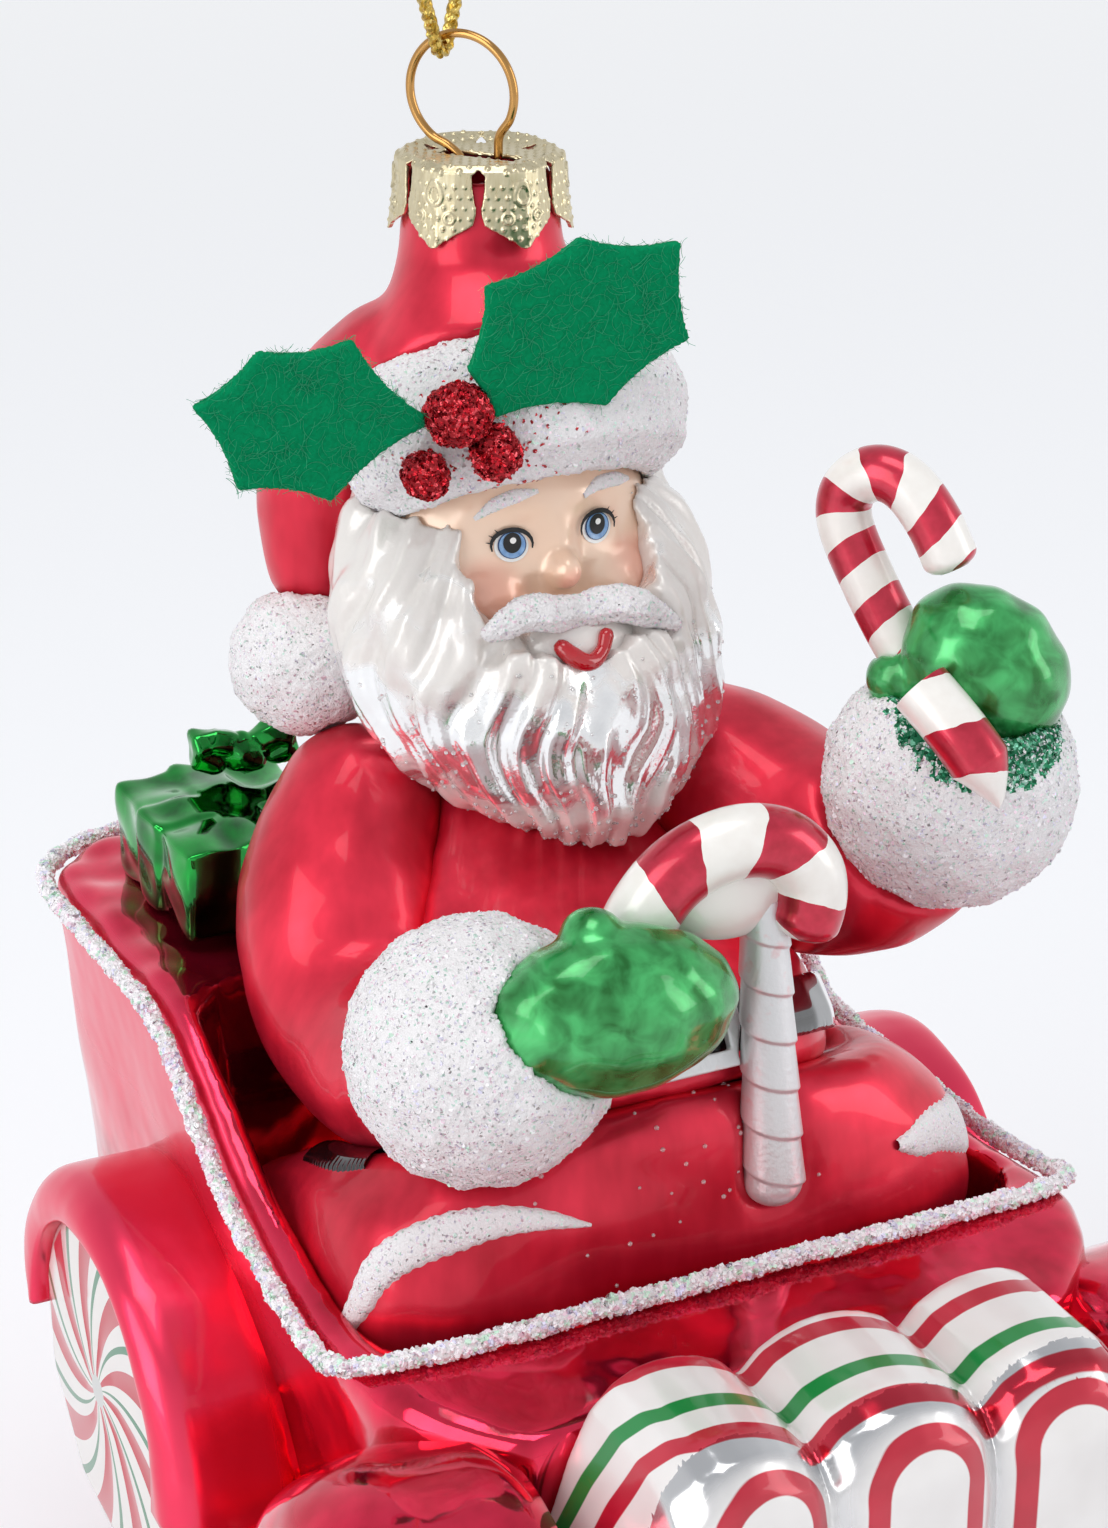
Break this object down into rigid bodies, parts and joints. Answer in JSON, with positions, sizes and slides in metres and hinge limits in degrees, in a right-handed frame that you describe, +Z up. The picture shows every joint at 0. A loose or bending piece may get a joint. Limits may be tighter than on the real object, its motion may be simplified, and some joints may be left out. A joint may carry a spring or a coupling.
{
  "type": "santa in car ornament",
  "caption": "Blown-glass tree ornament of a bearded Santa driving a car made of sweets, with a metal crown cap, a wire ring and a gold cord loop to hang it by.",
  "frame": {"origin": "inside the top of the hanging cord loop, where a hook or twig carries it", "axes": "+Z up, -Y the way the car drives, +X the left hand of the driver"},
  "size_m": [0.086, 0.1117, 0.179],
  "materials": {
    "red_mirror": "blown glass silvered inside and lacquered transparent red outside",
    "red_satin": "blown glass with matt and glossy red lacquer",
    "white_glitter": "white paint with fine iridescent glitter on glass",
    "peach_pearl": "pearly flesh-coloured paint on glass",
    "silver_pearl": "silvered glass under translucent white paint with clear beads",
    "green_mirror": "silvered glass lacquered transparent green",
    "green_paint": "brushed green lacquer over pearl paint",
    "white_pearl": "pearl white paint with red stripes and fine glitter",
    "candy_paint": "pearl white paint with red and green candy stripes",
    "red_glitter": "round bead coated with coarse red glitter",
    "felt_green": "thin pressed green felt with loose fibres",
    "black_gloss": "glossy black lacquer on glass",
    "silver_paint": "silver paint on glass",
    "champagne": "thin stamped and embossed sheet with pale gold colour",
    "copper_wire": "bright drawn spring wire with copper-gold colour",
    "gold_thread": "twisted thread wrapped with gold foil"
  },
  "bodies": {
    "cord": {"hanging_cord": "gold_thread", "cord_knot": "gold_thread"},
    "hanger": {"wire_hanger": "copper_wire"},
    "cap": {"cap": "champagne"},
    "glass": {"head": "peach_pearl", "hat_brim": "white_glitter", "hat": "red_satin", "gift_box": "green_mirror", "gift_bow": "green_paint", "right_candy_cane": "white_pearl", "left_candy_cane": "white_pearl", "right_mitten": "green_paint", "left_mitten": "green_paint", "right_cuff": "white_glitter", "left_cuff": "white_glitter", "right_arm": "red_satin", "left_arm": "red_satin", "moustache": "white_glitter", "beard": "silver_pearl", "pompom": "white_glitter", "torso": "red_satin", "right_holly_leaf": "felt_green", "left_holly_leaf": "felt_green", "holly_berry_1": "red_glitter", "holly_berry_2": "red_glitter", "holly_berry_3": "red_glitter", "belt": "black_gloss", "coat_skirt": "red_satin", "belt_buckle": "silver_paint", "right_coat_hem": "white_glitter", "left_coat_hem": "white_glitter", "car_tub": "red_mirror", "rim_trim": "white_glitter", "candy_hood": "candy_paint", "front_right_fender": "red_mirror", "rear_right_fender": "red_mirror", "right_running_board": "red_mirror", "front_right_wheel": "candy_paint", "rear_right_wheel": "candy_paint", "front_left_fender": "red_mirror", "rear_left_fender": "red_mirror", "left_running_board": "red_mirror", "front_left_wheel": "candy_paint", "rear_left_wheel": "candy_paint"}
  },
  "joints": [
    {"name": "ring_swing", "type": "hinge", "parent": "cord", "child": "hanger", "pos_m": [0, 0, -0.0484], "axis": [0.6157, -0.788, 0], "range_deg": [-60, 60]},
    {"name": "hanger_rock", "type": "hinge", "parent": "hanger", "child": "cap", "pos_m": [0.00212, -0.00272, -0.05803], "axis": [0.788, 0.6157, 0], "range_deg": [-4, 4]},
    {"name": "cap_pull", "type": "slide", "parent": "cap", "child": "glass", "axis": [0, 0, -1], "range_m": [0, 0.024]}
  ]
}
